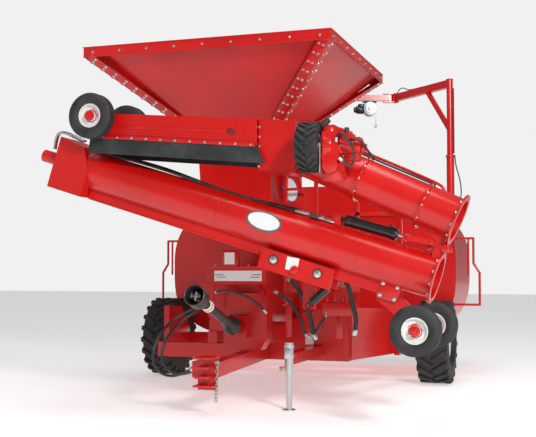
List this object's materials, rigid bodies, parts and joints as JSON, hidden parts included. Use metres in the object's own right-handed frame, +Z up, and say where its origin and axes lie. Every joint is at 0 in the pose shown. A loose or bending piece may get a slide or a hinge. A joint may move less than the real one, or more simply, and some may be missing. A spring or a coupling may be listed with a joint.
{
  "type": "grain bagger",
  "caption": "Towed grain bagger with a square hopper, folding intake auger across the front, drawbar, jack, bag crane and arched bag tunnel.",
  "frame": {"origin": "middle of the outline of the machine, on the ground", "axes": "+X to the side that is on the right when seen from the drawbar, +Y to the rear, +Z up"},
  "size_m": [4.508, 6.03, 3.565],
  "materials": {
    "red_paint": "gloss",
    "tyre_rubber": "matte",
    "white_wheel": "gloss",
    "black_rubber": "matte",
    "black_plastic": "satin",
    "black_steel": "gloss",
    "plated_steel": "satin",
    "worn_steel": "satin"
  },
  "bodies": {
    "chassis": {"front_beam": "red_paint", "axle_beam": "red_paint", "side_frames": "red_paint", "front_gusset": "red_paint", "drawbar": "red_paint", "hitch_clevis": "red_paint", "jack_arm": "red_paint", "jack_sleeve": "plated_steel", "main_hopper": "red_paint", "hopper_chute": "red_paint", "auger_housing": "red_paint", "frame_rails": "red_paint", "hopper_legs": "red_paint", "gearbox_shield": "red_paint", "pto_gearbox": "red_paint", "sign_panel": "red_paint", "hose_outer": "black_rubber", "hose_inner": "black_rubber", "hose_couplers": "plated_steel", "tunnel_front_wall": "red_paint", "tunnel_skin": "red_paint", "bag_pan": "red_paint", "auger_arm": "red_paint", "crane_post": "red_paint", "bag_guides": "red_paint", "ladder": "red_paint"},
    "left_wheel": {"main_tyre_left": "tyre_rubber", "main_wheel_left": "white_wheel"},
    "right_wheel": {"main_tyre_right": "tyre_rubber", "main_wheel_right": "white_wheel"},
    "jack_inner": {"jack_leg": "plated_steel"},
    "packing_screw": {"bagging_screw": "worn_steel"},
    "pto_drive": {"pto_shaft": "black_plastic"},
    "crane_swing": {"crane_mast": "red_paint"},
    "crane_boom": {"crane_arm": "red_paint", "crane_winch": "black_steel"},
    "discharge_section": {"discharge_auger_tube": "red_paint", "discharge_spout": "red_paint", "discharge_flange": "red_paint", "auger_rail": "red_paint", "tilt_bracket": "red_paint", "support_leg": "red_paint"},
    "support_pair": {"support_tyres": "tyre_rubber", "support_wheels": "white_wheel"},
    "intake_section": {"intake_auger_tube": "red_paint", "intake_flange": "red_paint", "intake_hopper": "red_paint", "intake_boot": "red_paint", "hopper_skirt": "black_rubber", "drive_gearbox": "red_paint"},
    "intake_pair": {"intake_tyres": "tyre_rubber", "intake_wheels": "white_wheel"},
    "drive_pair": {"drive_tyre": "tyre_rubber", "drive_wheel": "white_wheel"},
    "fold_barrel": {"fold_cylinder_barrel": "black_steel"},
    "fold_rod": {"fold_cylinder_rod": "plated_steel"},
    "rocker": {"fold_rocker": "red_paint"},
    "link": {"fold_link": "red_paint"},
    "tilt_barrel": {"tilt_cylinder_barrel": "black_steel"},
    "tilt_rod": {"tilt_cylinder_rod": "plated_steel"}
  },
  "joints": [
    {"name": "main_wheel_left_spin", "type": "hinge", "parent": "chassis", "child": "left_wheel", "pos_m": [-1.83403, 1.035, 0.465], "axis": [1, 0, 0], "continuous": true},
    {"name": "main_wheel_right_spin", "type": "hinge", "parent": "chassis", "child": "right_wheel", "pos_m": [1.45397, 1.035, 0.465], "axis": [1, 0, 0], "continuous": true},
    {"name": "jack_slide", "type": "slide", "parent": "chassis", "child": "jack_inner", "axis": [0, 0, 1], "range_m": [0, 0.13]},
    {"name": "bagging_screw_spin", "type": "hinge", "parent": "chassis", "child": "packing_screw", "pos_m": [-0.19003, 1.035, 0.96], "axis": [0, 1, 0], "continuous": true},
    {"name": "pto_shaft_swing", "type": "hinge", "parent": "chassis", "child": "pto_drive", "pos_m": [-0.04403, -1.525, 0.735], "axis": [1, 0, 0], "range_deg": [0, 23]},
    {"name": "crane_slew", "type": "hinge", "parent": "chassis", "child": "crane_swing", "pos_m": [1.54497, 1.615, 2.64], "axis": [0, 0, 1], "range_deg": [-105, 20]},
    {"name": "crane_elbow", "type": "hinge", "parent": "crane_swing", "child": "crane_boom", "pos_m": [0.73497, 2.395, 3.5], "axis": [0, 0, 1], "range_deg": [-150, 15]},
    {"name": "auger_tilt", "type": "hinge", "parent": "chassis", "child": "discharge_section", "pos_m": [0.85655, -2.405, 1.26661], "axis": [0, 1, 0], "range_deg": [0, 5.5]},
    {"name": "auger_fold", "type": "hinge", "parent": "discharge_section", "child": "intake_section", "pos_m": [2.07097, -2.405, 1.433], "axis": [0, 1, 0], "range_deg": [0, 173.2]},
    {"name": "support_wheels_spin", "type": "hinge", "parent": "discharge_section", "child": "support_pair", "pos_m": [1.88156, -2.405, 0.80805], "axis": [0, 1, 0], "continuous": true},
    {"name": "intake_wheels_spin", "type": "hinge", "parent": "intake_section", "child": "intake_pair", "pos_m": [-0.88403, -2.405, 2.579], "axis": [0, 1, 0], "continuous": true},
    {"name": "drive_wheel_spin", "type": "hinge", "parent": "intake_section", "child": "drive_pair", "pos_m": [1.07597, -2.815, 2.226], "axis": [1, 0, 0], "continuous": true},
    {"name": "fold_barrel_swing", "type": "hinge", "parent": "discharge_section", "child": "fold_barrel", "pos_m": [1.18718, -2.405, 1.69256], "axis": [0, 1, 0], "range_deg": [-8.89, 0]},
    {"name": "fold_rod_slide", "type": "slide", "parent": "fold_barrel", "child": "fold_rod", "axis": [0.9596, 0, -0.2813], "range_m": [0, 0.30446]},
    {"name": "fold_rocker_swing", "type": "hinge", "parent": "discharge_section", "child": "rocker", "pos_m": [1.93555, -2.405, 1.43538], "axis": [0, 1, 0], "range_deg": [0, 108.69]},
    {"name": "fold_link_swing", "type": "hinge", "parent": "intake_section", "child": "link", "pos_m": [1.96143, -2.405, 1.482], "axis": [0, 1, 0], "range_deg": [-126.64, 0]},
    {"name": "tilt_barrel_swing", "type": "hinge", "parent": "chassis", "child": "tilt_barrel", "pos_m": [0.86655, -2.165, 0.96661], "axis": [0, 1, 0], "range_deg": [0, 2.5]},
    {"name": "tilt_rod_slide", "type": "slide", "parent": "tilt_barrel", "child": "tilt_rod", "axis": [0.7449, 0, 0.6672], "range_m": [-0.0226, 0]}
  ],
  "couplings": [
    {"joint": "fold_barrel_swing", "follows": "auger_fold", "ratio": -0.051218},
    {"joint": "fold_rod_slide", "follows": "auger_fold", "m_per_rad": 0.10052},
    {"joint": "fold_rocker_swing", "follows": "auger_fold", "ratio": 0.62632},
    {"joint": "fold_link_swing", "follows": "auger_fold", "ratio": -0.72975},
    {"joint": "tilt_barrel_swing", "follows": "auger_tilt", "ratio": 0.45172},
    {"joint": "tilt_rod_slide", "follows": "auger_tilt", "m_per_rad": -0.23425}
  ]
}
